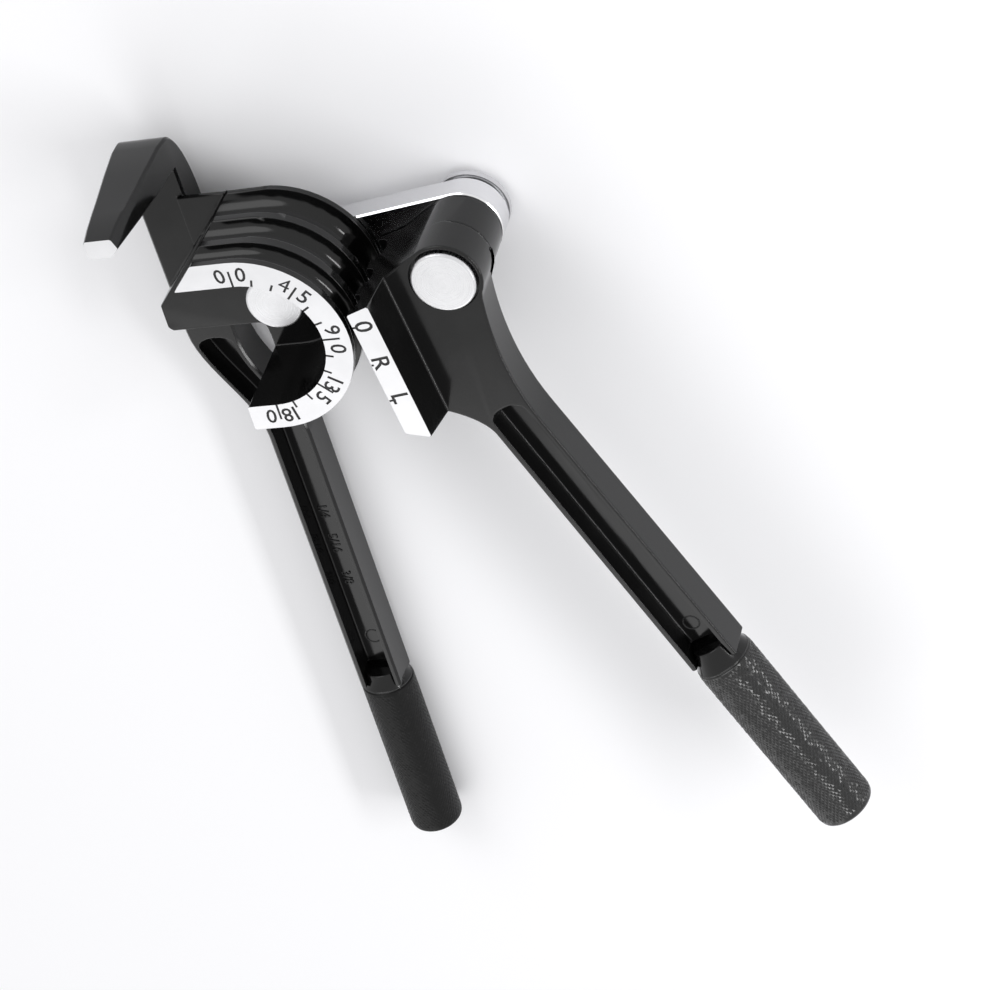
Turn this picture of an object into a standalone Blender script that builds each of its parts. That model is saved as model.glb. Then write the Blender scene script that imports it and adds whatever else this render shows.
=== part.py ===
"""Hand tube bender for three tube sizes, lying on its back with the dial up.

The grooved wheel's axis is the Z axis. A depth runs down from the dial's face, and the origin is at the
far end of the centre pin. The slide handle is drawn in the link's own frame: X along the wheel's
tangent, Y away from the wheel, and it is turned to the angle that the link is at.
"""

import math

import bmesh
import bpy
from mathutils import Matrix

# Tubes and fits
SMALL_TUBE = 0.00635
MIDDLE_TUBE = 0.00794
LARGE_TUBE = 0.00953
GROOVE_PLAY = 0.00016
PART_GAP = 0.0003
CUT_OVERRUN = 0.002
MERGE_DISTANCE = 0.000003

# Wheel
WHEEL_RADIUS = 0.0240
WHEEL_WALL = 0.0067
NEAR_RIM = 0.0020
RIDGE = 0.0025
FAR_RIM = 0.0015
WEB_THICKNESS = 0.0075
WEB_LAP = 0.0008
FLANGE_LEFT = 0.0221
FLANGE_BOTTOM = 0.0050
WHEEL_START_LEFT = 0.0090
WHEEL_START_SLOPE = 1.097
WHEEL_END_LEFT = 0.0075
RIB_LEFT = 0.0333
RIB_BOTTOM = 0.0100
RIB_CORNER = 0.0020

# Pivots
PIN_RADIUS = 0.0040
CENTRE_HEAD_RADIUS = 0.0072
CENTRE_HEAD_DEPTH = 0.0175
SLIDE_HEAD_RADIUS = 0.0080
HEAD_THICKNESS = 0.0025
HEAD_ROUND = 0.0006
CENTRE_BOSS_RADIUS = 0.0081
HEAD_SEAT_GAP = 0.0006
SEAT_DEPTH = 0.0015
WASHER_RADIUS = 0.0086
WASHER_THICKNESS = 0.0006
COLLAR_RADIUS = 0.0095
COLLAR_THICKNESS = 0.0025
COLLAR_BEVEL = 0.0008

# Link
PIVOT_SPACING = 0.0471
LINK_RADIUS = 0.0095
LINK_THICKNESS = 0.0072
LINK_EDGE = 0.0004
LINK_ANGLE = math.radians(82.5)

# Forming handle
BAR_THICKNESS = 0.0104
LEG_LEFT = 0.0332
LEG_WIDTH = 0.0131
JOIN_LAP = 0.0001
SHANK_CENTRE = 0.01585
SHANK_WIDTH = 0.0115
LEFT_BEND_START = 0.0160
RIGHT_BEND_START = 0.0200
BEND_END = 0.0500
FORMING_SHANK_END = 0.1350
FORMING_RIM = 0.0015
FORMING_POCKET_START = 0.0190
FORMING_POCKET_END = 0.1305
POCKET_DEPTH = 0.0056
POCKET_DRAFT = 0.0004

# Hook
HOOK_TOP = 0.0399
HOOK_INNER = 0.0313
HOOK_TIP_RISE = 0.0045
HOOK_TIP_HEIGHT = 0.0048
HOOK_TIP_FALL = 0.0034
HOOK_TIP_LEFT = 0.0306
HOOK_TIP_RIGHT = 0.0225
HOOK_CORNER = 0.0006
HOOK_TIP_TOP_CORNER = 0.0010
HOOK_TIP_TOP_DROP = 0.0026
HOOK_TIP_LOW_CORNER = 0.0021
HOOK_BACK_LENGTH = 0.0205
HOOK_LEAN = 0.0013
ARM_SHARES = (
    (0.10, -0.10, 0, 0),
    (0.34, 0.10, 0.1, 0),
    (0.45, 0.24, 0.35, 0.1),
    (0.60, 0.42, 0.75, 0.3),
    (0.75, 0.56, 1.0, 0.6),
    (0.88, 0.73, 1.1, 0.8),
    (1, 1, 1, 1),
)

# Slide handle
SHOE_GAP = 0.00165
SHOE_STRIP = 0.0059
SHOE_LEAN = 0.0014
SHOE_BEFORE = 0.0041
SHOE_AFTER = 0.0362
SHOE_STRIP_BEFORE = 0.0039
SHOE_STRIP_AFTER = 0.0351
SHOE_NOSE_CUT = 0.0012
SHOE_TAIL_CUT = 0.0025
SLIDE_FACE_DEPTH = 0.0110
SLIDE_THICKNESS = 0.0104
SLIDE_BOSS_RADIUS = 0.0095
BOSS_FIRST_ANGLE = 207
BOSS_LAST_ANGLE = 52
GUSSET_LAST_ANGLE = 30
SLIDE_ANGLE = math.radians(14.5)
SLIDE_AXIS_OFFSET = 0.0103
SLIDE_NECK_WIDTH = 0.0124
SLIDE_END_WIDTH = 0.0136
SLIDE_NECK_START = 0.0070
SLIDE_NECK_FIRST = 0.0090
SLIDE_NECK_END = 0.0450
SLIDE_NECK_BULGE = 0.0099
SLIDE_INNER_START = 0.0430
SLIDE_INNER_CORNER = 0.0050
SLIDE_SHANK_END = 0.1271
SLIDE_RIM = 0.0015
SLIDE_POCKET_START = 0.0380
SLIDE_POCKET_END = 0.1225
GUSSET_END = 0.0270

# Grips
FORMING_GRIP_RADIUS = 0.00735
FORMING_CONE_LENGTH = 0.0014
FORMING_GRIP_LENGTH = 0.0513
FORMING_GRIP_DEPTH = 0.0382
SLIDE_GRIP_RADIUS = 0.0081
SLIDE_CONE_LENGTH = 0.0024
SLIDE_GRIP_LENGTH = 0.0570
SLIDE_GRIP_DEPTH = 0.0162
TANG_RADIUS = 0.0050
COLLAR_CONE_RADIUS = 0.0054
GRIP_ROUND = 0.0015
GRIP_END_WALL = 0.0040

# Facets
ARC_STEPS = 32
GROOVE_STEPS = 10
PIN_STEPS = 40
CORNER_STEPS = 4
BEND_STEPS = 12
HOOK_STEPS = 12
TURN = math.tau

# Worked out from the sizes above
SMALL_GROOVE = SMALL_TUBE + GROOVE_PLAY
MIDDLE_GROOVE = MIDDLE_TUBE + GROOVE_PLAY
LARGE_GROOVE = LARGE_TUBE + GROOVE_PLAY
SMALL_DEPTH = NEAR_RIM + SMALL_GROOVE / 2
MIDDLE_DEPTH = NEAR_RIM + SMALL_GROOVE + RIDGE + MIDDLE_GROOVE / 2
LARGE_DEPTH = MIDDLE_DEPTH + MIDDLE_GROOVE / 2 + RIDGE + LARGE_GROOVE / 2
WHEEL_DEPTH = LARGE_DEPTH + LARGE_GROOVE / 2 + FAR_RIM
WEB_DEPTH = WHEEL_DEPTH - WEB_THICKNESS
INNER_RADIUS = WHEEL_RADIUS - WHEEL_WALL
LINK_DEPTH = WHEEL_DEPTH + PART_GAP
LINK_BACK = LINK_DEPTH + LINK_THICKNESS
WASHER_DEPTH = LINK_BACK + PART_GAP
COLLAR_DEPTH = WASHER_DEPTH + WASHER_THICKNESS + PART_GAP
BACK_DEPTH = COLLAR_DEPTH + COLLAR_THICKNESS
BORE_RADIUS = PIN_RADIUS + PART_GAP
BAR_BACK = WHEEL_DEPTH + BAR_THICKNESS
LEG_RIGHT = LEG_LEFT - LEG_WIDTH
SHANK_LEFT = SHANK_CENTRE + SHANK_WIDTH / 2
SHANK_RIGHT = SHANK_CENTRE - SHANK_WIDTH / 2
SHOE_FACE = WHEEL_RADIUS + SHOE_GAP - PIVOT_SPACING
SHOE_BASE = SHOE_FACE + SHOE_STRIP + SHOE_LEAN
SHOE_BACK = WHEEL_DEPTH - PART_GAP
SLIDE_BACK = SLIDE_FACE_DEPTH + SLIDE_THICKNESS
FORMING_GRIP_START = FORMING_SHANK_END + FORMING_CONE_LENGTH
FORMING_GRIP_END = FORMING_GRIP_START + FORMING_GRIP_LENGTH
SLIDE_GRIP_START = SLIDE_SHANK_END + SLIDE_CONE_LENGTH
SLIDE_GRIP_END = SLIDE_GRIP_START + SLIDE_GRIP_LENGTH


def level(depth):
    """Height of a depth below the dial's face."""
    return BACK_DEPTH - depth


def mix(first, last, share):
    return first + (last - first) * share


def ease(share):
    """A share that starts and ends level, for a bend between two straight edges."""
    return share * share * (3 - 2 * share)


def arc(centre, radius, first, last, steps):
    """Points along an arc, with angles in degrees."""
    points = []
    for step in range(steps + 1):
        angle = math.radians(mix(first, last, step / steps))
        points.append((centre[0] + radius * math.cos(angle), centre[1] + radius * math.sin(angle)))
    return points


def collection(name):
    made = bpy.data.collections.new(name)
    bpy.context.scene.collection.children.link(made)
    return made


def material(name, colour, roughness, metallic):
    made = bpy.data.materials.new(name)
    made.use_nodes = True
    shader = made.node_tree.nodes["Principled BSDF"]
    shader.inputs["Base Color"].default_value = (*colour, 1)
    shader.inputs["Roughness"].default_value = roughness
    shader.inputs["Metallic"].default_value = metallic
    return made


def solid(name, mesh, home, parent=None, finish=None):
    made = bpy.data.objects.new(name, mesh)
    home.objects.link(made)
    made.parent = parent
    if finish:
        mesh.materials.append(finish)
    mesh.shade_smooth()
    mesh.set_sharp_from_angle(angle=math.radians(30))
    return made


def closed_mesh(name, shape):
    bmesh.ops.triangulate(shape, faces=shape.faces)
    bmesh.ops.recalc_face_normals(shape, faces=shape.faces)
    mesh = bpy.data.meshes.new(name)
    shape.to_mesh(mesh)
    shape.free()
    return mesh


def plate_mesh(name, outline, near, far):
    """A flat outline between two heights."""
    curve = bpy.data.curves.new(name, "CURVE")
    curve.dimensions = "2D"
    curve.fill_mode = "BOTH"
    curve.resolution_u = 1
    curve.extrude = abs(far - near) / 2
    spline = curve.splines.new("POLY")
    spline.points.add(len(outline) - 1)
    for point, place in zip(spline.points, outline):
        point.co = (place[0], place[1], 0, 1)
    spline.use_cyclic_u = True
    drawn = bpy.data.objects.new(name, curve)
    bpy.context.scene.collection.objects.link(drawn)
    bpy.context.view_layer.update()
    mesh = bpy.data.meshes.new_from_object(drawn.evaluated_get(bpy.context.evaluated_depsgraph_get()))
    bpy.data.objects.remove(drawn)
    mesh.name = name
    shape = bmesh.new()
    shape.from_mesh(mesh)
    bmesh.ops.remove_doubles(shape, verts=shape.verts, dist=MERGE_DISTANCE)
    bmesh.ops.translate(shape, verts=shape.verts, vec=(0, 0, (near + far) / 2))
    bmesh.ops.recalc_face_normals(shape, faces=shape.faces)
    shape.to_mesh(mesh)
    shape.free()
    return mesh


def raised(outline, height):
    return [(place[0], place[1], height) for place in outline]


def loft_mesh(name, sections):
    """A skin over sections with the same number of points, closed at both ends."""
    shape = bmesh.new()
    rings = [[shape.verts.new(place) for place in section] for section in sections]
    for lower, upper in zip(rings, rings[1:]):
        for index in range(len(lower)):
            following = (index + 1) % len(lower)
            shape.faces.new((lower[index], lower[following], upper[following], upper[index]))
    shape.faces.new(rings[0])
    shape.faces.new(rings[-1])
    bmesh.ops.remove_doubles(shape, verts=shape.verts, dist=MERGE_DISTANCE)
    return closed_mesh(name, shape)


def turned(name, profile, home, parent=None, finish=None, closed=False, steps=PIN_STEPS):
    """A profile of radii and heights, outer side from the top down, turned about its own Z axis."""
    mesh = bpy.data.meshes.new(name)
    count = len(profile)
    edges = [(index, index + 1) for index in range(count - 1)]
    if closed:
        edges.append((count - 1, 0))
    mesh.from_pydata([(radius, 0, height) for radius, height in profile], edges, [])
    made = bpy.data.objects.new(name, mesh)
    home.objects.link(made)
    made.parent = parent
    screw = made.modifiers.new("turn", "SCREW")
    screw.angle = TURN
    screw.steps = steps
    screw.render_steps = steps
    screw.use_merge_vertices = True
    screw.merge_threshold = MERGE_DISTANCE
    screw.use_smooth_shade = True
    if finish:
        mesh.materials.append(finish)
    return made


def round_bar(name, radius, near, far, home, parent=None, steps=PIN_STEPS):
    """A plain cylinder along Z between two heights."""
    profile = ((0, near), (radius, near), (radius, far), (0, far))
    return turned(name, profile, home, parent, steps=steps)


def helper(made):
    """Marks an object as one that only shapes another."""
    made.hide_render = True
    made.display_type = "WIRE"
    return made


def shape_with(target, tool, operation):
    step = target.modifiers.new(tool.name, "BOOLEAN")
    step.operation = operation
    step.solver = "EXACT"
    step.object = helper(tool)


def join(target, tool):
    shape_with(target, tool, "UNION")


def cut(target, tool):
    shape_with(target, tool, "DIFFERENCE")


def groove(centre_depth, width):
    """Half circle of a groove, from its near lip to its far lip."""
    points = []
    for radius_part, depth_part in arc((0, 0), width / 2, -90, -270, GROOVE_STEPS):
        points.append((WHEEL_RADIUS + radius_part, centre_depth + depth_part))
    return points


def wheel_profile():
    """Radii and depths of the wheel's wall, round its whole section."""
    points = [(INNER_RADIUS, 0), (WHEEL_RADIUS, 0)]
    points += groove(SMALL_DEPTH, SMALL_GROOVE)
    points += groove(MIDDLE_DEPTH, MIDDLE_GROOVE)
    points += groove(LARGE_DEPTH, LARGE_GROOVE)
    points += [(WHEEL_RADIUS, WHEEL_DEPTH), (INNER_RADIUS, WHEEL_DEPTH)]
    return points


def wheel_mesh():
    """Wall of the wheel: half a turn, and a straight run at each end."""
    shape = bmesh.new()
    corners = [shape.verts.new((0, radius, level(depth))) for radius, depth in wheel_profile()]
    for index, corner in enumerate(corners):
        shape.edges.new((corner, corners[(index + 1) % len(corners)]))
    section = shape.edges[:]
    run = bmesh.ops.extrude_edge_only(shape, edges=section)["geom"]
    for corner in [item for item in run if isinstance(item, bmesh.types.BMVert)]:
        below = (WHEEL_RADIUS - corner.co.y) / WHEEL_START_SLOPE
        corner.co.x = -(WHEEL_START_LEFT + below)
    turn = bmesh.ops.spin(
        shape, geom=section, cent=(0, 0, 0), axis=(0, 0, -1), angle=TURN / 2, steps=ARC_STEPS
    )["geom_last"]
    last = [item for item in turn if isinstance(item, bmesh.types.BMEdge)]
    run = bmesh.ops.extrude_edge_only(shape, edges=last)["geom"]
    for corner in [item for item in run if isinstance(item, bmesh.types.BMVert)]:
        corner.co.x = -WHEEL_END_LEFT
    bmesh.ops.remove_doubles(shape, verts=shape.verts, dist=MERGE_DISTANCE)
    bmesh.ops.holes_fill(shape, edges=[edge for edge in shape.edges if edge.is_boundary], sides=0)
    return closed_mesh("wheel", shape)


def web_outline():
    """Plate behind the wheel: a disc inside the wall, and the rib that runs left to the hook's leg."""
    reach = INNER_RADIUS + WEB_LAP
    start_left = WHEEL_START_LEFT + JOIN_LAP + (WHEEL_RADIUS - reach) / WHEEL_START_SLOPE
    rib_top = WHEEL_RADIUS - (RIB_LEFT - JOIN_LAP - WHEEL_START_LEFT) * WHEEL_START_SLOPE
    points = arc((0, 0), reach, 90, -90, ARC_STEPS)
    points += [(-WHEEL_END_LEFT, -reach), (-WHEEL_END_LEFT, -RIB_BOTTOM - RIB_CORNER)]
    corner_left = WHEEL_END_LEFT + RIB_CORNER
    points += arc((-corner_left, -RIB_BOTTOM - RIB_CORNER), RIB_CORNER, 0, 90, CORNER_STEPS)[1:]
    low_left = (-RIB_LEFT + RIB_CORNER, -RIB_BOTTOM + RIB_CORNER)
    points += arc(low_left, RIB_CORNER, 270, 180, CORNER_STEPS)
    points += [(-RIB_LEFT, rib_top), (-start_left, reach)]
    return points


def flange_outline():
    """Far rim's flat run between the wheel and the hook's leg, with its hidden parts in the web."""
    right = -WHEEL_START_LEFT + JOIN_LAP
    top = WHEEL_RADIUS - JOIN_LAP
    return [(right, top), (-FLANGE_LEFT, top), (-FLANGE_LEFT, FLANGE_BOTTOM), (right, FLANGE_BOTTOM)]


def bar_left(y):
    share = (y + BEND_END) / (BEND_END - LEFT_BEND_START)
    return -mix(SHANK_LEFT, LEG_LEFT, ease(min(max(share, 0), 1)))


def bar_right(y):
    share = (y + BEND_END) / (BEND_END - RIGHT_BEND_START)
    return -mix(SHANK_RIGHT, LEG_RIGHT, ease(min(max(share, 0), 1)))


def bend_levels(first, last):
    """Places along Y through the neck, from the lower one up."""
    levels = [mix(-BEND_END, -LEFT_BEND_START, step / BEND_STEPS) for step in range(BEND_STEPS + 1)]
    return [first] + [place for place in levels if first < place < last] + [last]


def forming_pocket_outline(inset):
    edge = FORMING_RIM + inset
    levels = bend_levels(-FORMING_POCKET_END + inset, -FORMING_POCKET_START - edge)
    right = [(bar_right(y) - edge, y) for y in levels]
    left = [(bar_left(y) + edge, y) for y in levels[::-1]]
    middle = (left[0][0] + right[-1][0]) / 2
    half = (right[-1][0] - left[0][0]) / 2
    crown = []
    for place in arc((0, 0), 1, 0, 180, 2 * CORNER_STEPS)[1:-1]:
        crown.append((middle + half * place[0], levels[-1] + half / 2 * place[1]))
    return right + crown + left


def bar_section(inner, outer, left, right, low_corner=HOOK_CORNER, top_corner=HOOK_CORNER, drop=HOOK_CORNER):
    """Section of the bar or hook between an inner and an outer place, each along Y and a depth."""
    reach = math.hypot(outer[0] - inner[0], outer[1] - inner[1])
    around = (
        (left, HOOK_CORNER),
        (left + HOOK_CORNER, 0),
        (right - low_corner, 0),
        (right, low_corner),
        (right, reach - drop),
        (right - top_corner, reach),
        (left + HOOK_CORNER, reach),
        (left, reach - HOOK_CORNER),
    )
    places = []
    for x, out in around:
        y = mix(inner[0], outer[0], out / reach)
        depth = mix(inner[1], outer[1], out / reach)
        places.append((x, y, level(depth)))
    return places


def bar_sections():
    """The bar from the grip's end up, round the hook's back, and out along its arm to the tip."""
    near = WHEEL_DEPTH - JOIN_LAP
    sections = []
    for y in bend_levels(-FORMING_SHANK_END, 0):
        sections.append(bar_section((y, near), (y, BAR_BACK), bar_left(y), bar_right(y)))
    centre = HOOK_TOP - HOOK_BACK_LENGTH
    for place in arc((0, 0), 1, 90, 0, HOOK_STEPS):
        y = centre + HOOK_BACK_LENGTH * place[0]
        depth = near + (BAR_BACK - HOOK_LEAN - near) * place[1]
        inner = (min(y, HOOK_INNER), near)
        sections.append(bar_section(inner, (y, depth), -LEG_LEFT, -LEG_RIGHT))
    for reach_share, fall_share, top_share, low_share in ARM_SHARES:
        depth = mix(near, -HOOK_TIP_RISE, reach_share)
        top = HOOK_TOP - HOOK_TIP_FALL * fall_share
        low = mix(HOOK_INNER, HOOK_TOP - HOOK_TIP_FALL - HOOK_TIP_HEIGHT, reach_share)
        left = -mix(LEG_LEFT, HOOK_TIP_LEFT, reach_share)
        right = -mix(LEG_RIGHT, HOOK_TIP_RIGHT, reach_share)
        low_corner = mix(HOOK_CORNER, HOOK_TIP_LOW_CORNER, low_share)
        top_corner = mix(HOOK_CORNER, HOOK_TIP_TOP_CORNER, top_share)
        drop = mix(HOOK_CORNER, HOOK_TIP_TOP_DROP, top_share)
        sections.append(bar_section((low, depth), (top, depth), left, right, low_corner, top_corner, drop))
    return sections


def tang_profile(shank_end, grip_start, grip_end, grip_radius):
    """Cone and tang that carry a grip, along a Z axis that runs to the handle's end."""
    end = grip_end - GRIP_END_WALL - PART_GAP
    inside = shank_end - CUT_OVERRUN
    return (
        (0, end),
        (TANG_RADIUS, end),
        (TANG_RADIUS, grip_start - PART_GAP),
        (grip_radius - PART_GAP, grip_start - PART_GAP),
        (COLLAR_CONE_RADIUS, shank_end),
        (COLLAR_CONE_RADIUS, inside),
        (0, inside),
    )


def grip_profile(start, end, radius):
    """Sleeve with a closed round end, along a Z axis that runs to the handle's end."""
    bore = TANG_RADIUS + PART_GAP
    crown = arc((radius - GRIP_ROUND, end - GRIP_ROUND), GRIP_ROUND, 90, 0, CORNER_STEPS)
    floor = end - GRIP_END_WALL
    return [(0, end)] + crown + [(radius, start), (bore, start), (bore, floor), (0, floor)]


def handle_turn(offset_x, depth, angle):
    """Places a turned piece on a handle's axis, with its Z axis towards the handle's end."""
    move = Matrix.Translation((offset_x, 0, level(depth)))
    return Matrix.Rotation(angle, 4, "Z") @ move @ Matrix.Rotation(math.radians(90), 4, "X")


def pin_profile(head_radius, head_depth):
    """Headed pin from its near face to its far end, riveted over the collar."""
    top = level(head_depth)
    shoulder = level(head_depth + HEAD_THICKNESS)
    crown = arc((head_radius - HEAD_ROUND, top - HEAD_ROUND), HEAD_ROUND, 90, 0, CORNER_STEPS)
    tail = [(head_radius, shoulder), (PIN_RADIUS, shoulder), (PIN_RADIUS, 0), (0, 0)]
    return [(0, top)] + crown + tail


def washer_profile():
    top = level(WASHER_DEPTH)
    low = top - WASHER_THICKNESS
    return [(BORE_RADIUS, top), (WASHER_RADIUS, top), (WASHER_RADIUS, low), (BORE_RADIUS, low)]


def collar_profile():
    top = level(COLLAR_DEPTH)
    low = top - COLLAR_THICKNESS
    return [
        (BORE_RADIUS, top),
        (COLLAR_RADIUS, top),
        (COLLAR_RADIUS, low + COLLAR_BEVEL),
        (COLLAR_RADIUS - COLLAR_BEVEL, low),
        (BORE_RADIUS, low),
    ]


def link_outline(edge):
    points = arc((0, PIVOT_SPACING), LINK_RADIUS - edge, 0, 180, ARC_STEPS)
    return points + arc((0, 0), LINK_RADIUS - edge, 180, 360, ARC_STEPS)


def link_mesh():
    top = level(LINK_DEPTH)
    low = level(LINK_BACK)
    sections = (
        raised(link_outline(LINK_EDGE), top),
        raised(link_outline(0), top - LINK_EDGE),
        raised(link_outline(0), low + LINK_EDGE),
        raised(link_outline(LINK_EDGE), low),
    )
    return loft_mesh("link_bar", sections)


def shoe_mesh():
    """Block of the shoe, whose side leans out below its machined strip."""
    strip = (
        (-SHOE_STRIP_BEFORE + SHOE_NOSE_CUT, SHOE_FACE),
        (-SHOE_STRIP_BEFORE, SHOE_FACE + SHOE_STRIP),
        (SHOE_STRIP_AFTER, SHOE_FACE + SHOE_STRIP),
        (SHOE_STRIP_AFTER - SHOE_TAIL_CUT, SHOE_FACE),
    )
    base = (
        (-SHOE_BEFORE + SHOE_NOSE_CUT, SHOE_FACE),
        (-SHOE_BEFORE, SHOE_BASE),
        (SHOE_AFTER, SHOE_BASE),
        (SHOE_AFTER - SHOE_TAIL_CUT, SHOE_FACE),
    )
    depths = (0, SLIDE_FACE_DEPTH, SHOE_BACK)
    sections = [raised(outline, level(depth)) for outline, depth in zip((strip, base, base), depths)]
    return loft_mesh("shoe", sections)


def along_handle(along, across):
    """A place in the slide handle's own axes, in the link's frame."""
    cosine = math.cos(SLIDE_ANGLE)
    sine = math.sin(SLIDE_ANGLE)
    return (along * cosine - across * sine, along * sine + across * cosine)


def slide_edge(outer, along, inset=0):
    """Place across the slide handle of its outer or inner edge, moved in by an inset."""
    share = (along - SLIDE_NECK_END) / (SLIDE_SHANK_END - SLIDE_NECK_END)
    half = mix(SLIDE_NECK_WIDTH, SLIDE_END_WIDTH, max(share, 0)) / 2 - inset
    if outer:
        rise = max((SLIDE_NECK_END - along) / (SLIDE_NECK_END - SLIDE_NECK_START), 0)
        return -SLIDE_AXIS_OFFSET + half + SLIDE_NECK_BULGE * rise * rise
    return -SLIDE_AXIS_OFFSET - half


def slide_outline():
    """Near face of the slide handle, from the shoe round the boss to the grip and back."""
    points = [(-SHOE_BEFORE, SHOE_BASE)]
    points += arc((0, 0), SLIDE_BOSS_RADIUS, BOSS_FIRST_ANGLE, BOSS_LAST_ANGLE, ARC_STEPS // 2)
    for step in range(BEND_STEPS + 1):
        along = mix(SLIDE_NECK_FIRST, SLIDE_NECK_END, step / BEND_STEPS)
        points.append(along_handle(along, slide_edge(True, along)))
    points.append(along_handle(SLIDE_SHANK_END, slide_edge(True, SLIDE_SHANK_END)))
    points.append(along_handle(SLIDE_SHANK_END, slide_edge(False, SLIDE_SHANK_END)))
    inner = along_handle(SLIDE_INNER_START, slide_edge(False, SLIDE_INNER_START))
    shoulder = (SHOE_AFTER, SHOE_BASE)
    corner = along_handle(SLIDE_INNER_START - SLIDE_INNER_CORNER, slide_edge(False, SLIDE_INNER_START))
    for step in range(CORNER_STEPS * 2 + 1):
        share = step / (CORNER_STEPS * 2)
        first = [mix(inner[axis], corner[axis], share) for axis in (0, 1)]
        last = [mix(corner[axis], shoulder[axis], share) for axis in (0, 1)]
        points.append(tuple(mix(first[axis], last[axis], share) for axis in (0, 1)))
    return points


def gusset_outline():
    """Deep part of the slide casting, between the shoe and the boss."""
    points = [(-SHOE_BEFORE, SHOE_BASE)]
    radius = SLIDE_BOSS_RADIUS - JOIN_LAP
    points += arc((0, 0), radius, BOSS_FIRST_ANGLE, GUSSET_LAST_ANGLE, ARC_STEPS // 2)
    points.append((GUSSET_END, SHOE_BASE))
    points.append((GUSSET_END, SHOE_BASE - SHOE_LEAN))
    points.append((-SHOE_BEFORE + SHOE_LEAN, SHOE_BASE - SHOE_LEAN))
    return points


def slide_pocket_outline(inset):
    first = SLIDE_POCKET_START + SLIDE_RIM + inset
    last = SLIDE_POCKET_END - inset
    rim = SLIDE_RIM + inset
    outer = [(along, slide_edge(True, along, rim)) for along in (first, SLIDE_NECK_END, last)]
    inner = [(along, slide_edge(False, along, rim)) for along in (last, SLIDE_NECK_END, first)]
    middle = (outer[0][1] + inner[-1][1]) / 2
    half = (outer[0][1] - inner[-1][1]) / 2
    crown = []
    for place in arc((0, 0), 1, -90, -270, 2 * CORNER_STEPS)[1:-1]:
        crown.append((first + half / 2 * place[0], middle + half * place[1]))
    return [along_handle(*place) for place in outer + inner + crown]


def groove_tool(name, centre_depth, width, home, parent):
    """Cylinder that cuts one straight groove in the shoe, centred between shoe and wheel."""
    tool = round_bar(name, width / 2, SHOE_AFTER + CUT_OVERRUN, -SHOE_BEFORE - CUT_OVERRUN, home, parent)
    centre = SHOE_FACE - SHOE_GAP / 2
    tool.matrix_local = Matrix.Translation((0, centre, level(centre_depth))) @ Matrix.Rotation(
        math.radians(90), 4, "Y"
    )
    return tool


def build_forming_casting(parts, tools, black):
    casting = solid("forming_casting", wheel_mesh(), parts, None, black)
    web = plate_mesh("web", web_outline(), level(WHEEL_DEPTH), level(WEB_DEPTH))
    join(casting, solid("web", web, tools))
    flange_near = level(WHEEL_DEPTH - FAR_RIM + JOIN_LAP)
    flange = plate_mesh("flange", flange_outline(), level(WHEEL_DEPTH), flange_near)
    join(casting, solid("flange", flange, tools))
    join(casting, solid("bar", loft_mesh("bar", bar_sections()), tools))
    boss_top = CENTRE_HEAD_DEPTH + HEAD_THICKNESS + PART_GAP
    boss_foot = WEB_DEPTH + HOOK_CORNER
    join(casting, round_bar("boss", CENTRE_BOSS_RADIUS, level(boss_top), level(boss_foot), tools))
    profile = tang_profile(FORMING_SHANK_END, FORMING_GRIP_START, FORMING_GRIP_END, FORMING_GRIP_RADIUS)
    tang = turned("forming_tang", profile, tools)
    tang.matrix_local = handle_turn(-SHANK_CENTRE, FORMING_GRIP_DEPTH, 0)
    join(casting, tang)
    near = level(WHEEL_DEPTH)
    sections = (
        raised(forming_pocket_outline(POCKET_DRAFT), near - POCKET_DEPTH),
        raised(forming_pocket_outline(0), near),
        raised(forming_pocket_outline(0), near + CUT_OVERRUN),
    )
    cut(casting, solid("forming_pocket", loft_mesh("forming_pocket", sections), tools))
    cut(casting, round_bar("centre_bore", BORE_RADIUS, level(0), level(BACK_DEPTH), tools))


def build_slide_casting(parts, tools, axis, black):
    plate = plate_mesh("slide_casting", slide_outline(), level(SLIDE_BACK), level(SLIDE_FACE_DEPTH))
    casting = solid("slide_casting", plate, parts, axis, black)
    join(casting, solid("shoe", shoe_mesh(), tools, axis))
    inside = level(SLIDE_FACE_DEPTH + SEAT_DEPTH)
    gusset = plate_mesh("gusset", gusset_outline(), level(SHOE_BACK), inside)
    join(casting, solid("gusset", gusset, tools, axis))
    boss_radius = SLIDE_BOSS_RADIUS - 2 * JOIN_LAP
    join(casting, round_bar("slide_boss", boss_radius, inside, level(WHEEL_DEPTH), tools, axis))
    profile = tang_profile(SLIDE_SHANK_END, SLIDE_GRIP_START, SLIDE_GRIP_END, SLIDE_GRIP_RADIUS)
    tang = turned("slide_tang", profile, tools, axis)
    tang.matrix_local = slide_grip_place()
    join(casting, tang)
    near = level(SLIDE_FACE_DEPTH)
    sections = (
        raised(slide_pocket_outline(POCKET_DRAFT), near - POCKET_DEPTH),
        raised(slide_pocket_outline(0), near),
        raised(slide_pocket_outline(0), near + CUT_OVERRUN),
    )
    cut(casting, solid("slide_pocket", loft_mesh("slide_pocket", sections), tools, axis))
    seat_radius = SLIDE_HEAD_RADIUS + HEAD_SEAT_GAP
    seat = round_bar("seat", seat_radius, near + CUT_OVERRUN, near - SEAT_DEPTH, tools, axis)
    cut(casting, seat)
    cut(casting, round_bar("slide_bore", BORE_RADIUS, level(0), level(BACK_DEPTH), tools, axis))
    cut(casting, groove_tool("small_groove", SMALL_DEPTH, SMALL_GROOVE, tools, axis))
    cut(casting, groove_tool("middle_groove", MIDDLE_DEPTH, MIDDLE_GROOVE, tools, axis))
    cut(casting, groove_tool("large_groove", LARGE_DEPTH, LARGE_GROOVE, tools, axis))


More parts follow.
